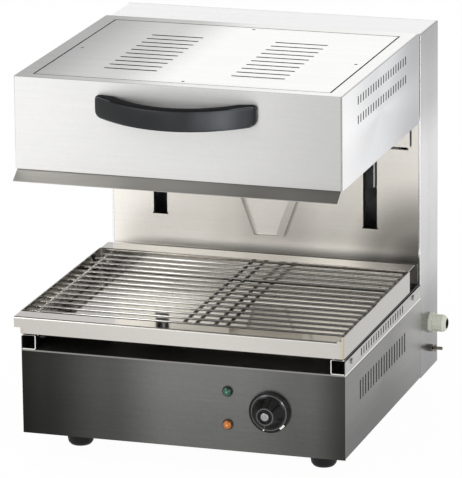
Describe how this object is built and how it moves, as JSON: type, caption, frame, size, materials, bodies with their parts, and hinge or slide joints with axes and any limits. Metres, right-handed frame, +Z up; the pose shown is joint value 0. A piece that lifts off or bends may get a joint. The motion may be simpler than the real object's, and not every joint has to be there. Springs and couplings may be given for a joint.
{
  "type": "salamander grill",
  "caption": "Countertop salamander grill with a counterbalanced rise-and-fall heating hood, wire grid over a slide-out drip tray, dial heat control and slotted steel casing.",
  "frame": {"origin": "centre of the footprint of the whole grill on the surface that its feet stand on", "axes": "+X to the right seen from the front, +Y from the front to the rear cover, +Z up"},
  "size_m": [0.4768, 0.5212, 0.531],
  "materials": {
    "brushed_stainless": "brushed stainless sheet",
    "dark_panel": "brushed stainless front panel",
    "tray_steel": "stainless pan, bright and smooth",
    "grid_wire": "bright plated wire",
    "rubber_black": "matt moulded rubber",
    "zinc_fastener": "zinc plated fastener",
    "galvanised": "galvanised sheet",
    "guide_chrome": "ground and plated rod",
    "bush_bronze": "sintered bronze",
    "weight_iron": "painted cast iron",
    "pulley_nylon": "nylon",
    "rope_steel": "steel wire rope",
    "ferrule_aluminium": "swaged aluminium",
    "reflector_steel": "bright reflector sheet",
    "insulation": "mineral fibre blanket",
    "element_sheath": "dark oxidised element sheath",
    "fitting_steel": "plated steel fitting",
    "handle_plastic": "black moulded plastic",
    "knob_plastic": "black moulded plastic",
    "cap_metal": "turned aluminium disc",
    "spindle_steel": "steel spindle",
    "regulator_plastic": "moulded regulator housing",
    "lamp_black": "black lamp barrel",
    "lens_green": "green lamp lens",
    "lens_amber": "amber lamp lens",
    "gland_plastic": "pale grey nylon gland",
    "stud_brass": "brass",
    "terminal_plastic": "moulded terminal strip"
  },
  "bodies": {
    "cabinet": {"rubber_feet": "rubber_black", "foot_screws": "zinc_fastener", "foot_nuts": "zinc_fastener", "base_shell": "brushed_stainless", "control_panel": "dark_panel", "deck_plate": "brushed_stainless", "rail_channels": "brushed_stainless", "rail_vent_strips": "brushed_stainless", "rail_screws": "zinc_fastener", "column_shell": "brushed_stainless", "column_front_panel": "brushed_stainless", "column_floor": "galvanised", "rear_cover": "galvanised", "rear_cover_screws": "zinc_fastener", "guide_rods": "guide_chrome", "weight_guide_rods": "guide_chrome", "mechanism_plate": "galvanised", "pulley_axles": "spindle_steel", "pulley_brackets": "galvanised", "ropes_over_pulleys": "rope_steel", "heat_regulator": "regulator_plastic", "lamp_bodies": "lamp_black", "power_lamp_lens": "lens_green", "heating_lamp_lens": "lens_amber", "cable_gland": "gland_plastic", "gland_cap": "gland_plastic", "gland_seal": "rubber_black", "gland_locknut": "gland_plastic", "earth_stud": "stud_brass", "earth_nuts": "stud_brass", "terminal_block": "terminal_plastic"},
    "hood": {"carriage": "galvanised", "guide_bushes": "bush_bronze", "lift_arms": "galvanised", "arm_bolts": "zinc_fastener", "ropes_to_carriage": "rope_steel", "carriage_rope_ferrules": "ferrule_aluminium", "hood_shell": "brushed_stainless", "hood_rear_wall": "brushed_stainless", "cover_ledge_frame": "galvanised", "hood_top_cover": "brushed_stainless", "top_cover_screws": "zinc_fastener", "hood_front_lip": "brushed_stainless", "reflector": "reflector_steel", "insulation_blanket": "insulation", "heating_elements": "element_sheath", "element_fittings": "fitting_steel", "element_supports": "fitting_steel", "handle": "handle_plastic", "handle_screws": "zinc_fastener"},
    "balance_weight": {"counterweight": "weight_iron", "counterweight_rope_ferrules": "ferrule_aluminium", "ropes_to_counterweight": "rope_steel"},
    "left_pulley": {"pulley_left": "pulley_nylon"},
    "right_pulley": {"pulley_right": "pulley_nylon"},
    "dial": {"control_knob": "knob_plastic", "knob_cap": "cap_metal", "knob_spindle": "spindle_steel"},
    "tray": {"drip_tray": "tray_steel"},
    "grid": {"wire_grid": "grid_wire"}
  },
  "joints": [
    {"name": "hood_lift", "type": "slide", "parent": "cabinet", "child": "hood", "axis": [0, 0, 1], "range_m": [-0.175, 0], "deforming": ["ropes_to_carriage"]},
    {"name": "counterweight_slide", "type": "slide", "parent": "cabinet", "child": "balance_weight", "axis": [0, 0, 1], "range_m": [0, 0.175], "deforming": ["ropes_to_counterweight"]},
    {"name": "left_pulley_spin", "type": "hinge", "parent": "cabinet", "child": "left_pulley", "pos_m": [-0.0716, 0.217, 0.491], "axis": [1, 0, 0], "range_deg": [0, 627]},
    {"name": "right_pulley_spin", "type": "hinge", "parent": "cabinet", "child": "right_pulley", "pos_m": [0.0484, 0.217, 0.491], "axis": [1, 0, 0], "range_deg": [0, 627]},
    {"name": "knob_turn", "type": "hinge", "parent": "cabinet", "child": "dial", "pos_m": [0.1104, -0.207, 0.095], "axis": [0, 1, 0], "range_deg": [0, 300]},
    {"name": "tray_slide", "type": "slide", "parent": "cabinet", "child": "tray", "axis": [0, -1, 0], "range_m": [0, 0.3]},
    {"name": "grid_lift", "type": "slide", "parent": "tray", "child": "grid", "axis": [0, 0, 1], "range_m": [0, 0.014]}
  ],
  "couplings": [
    {"joint": "counterweight_slide", "follows": "hood_lift", "ratio": -1},
    {"joint": "left_pulley_spin", "follows": "hood_lift", "rad_per_m": -62.5},
    {"joint": "right_pulley_spin", "follows": "hood_lift", "rad_per_m": -62.5}
  ]
}
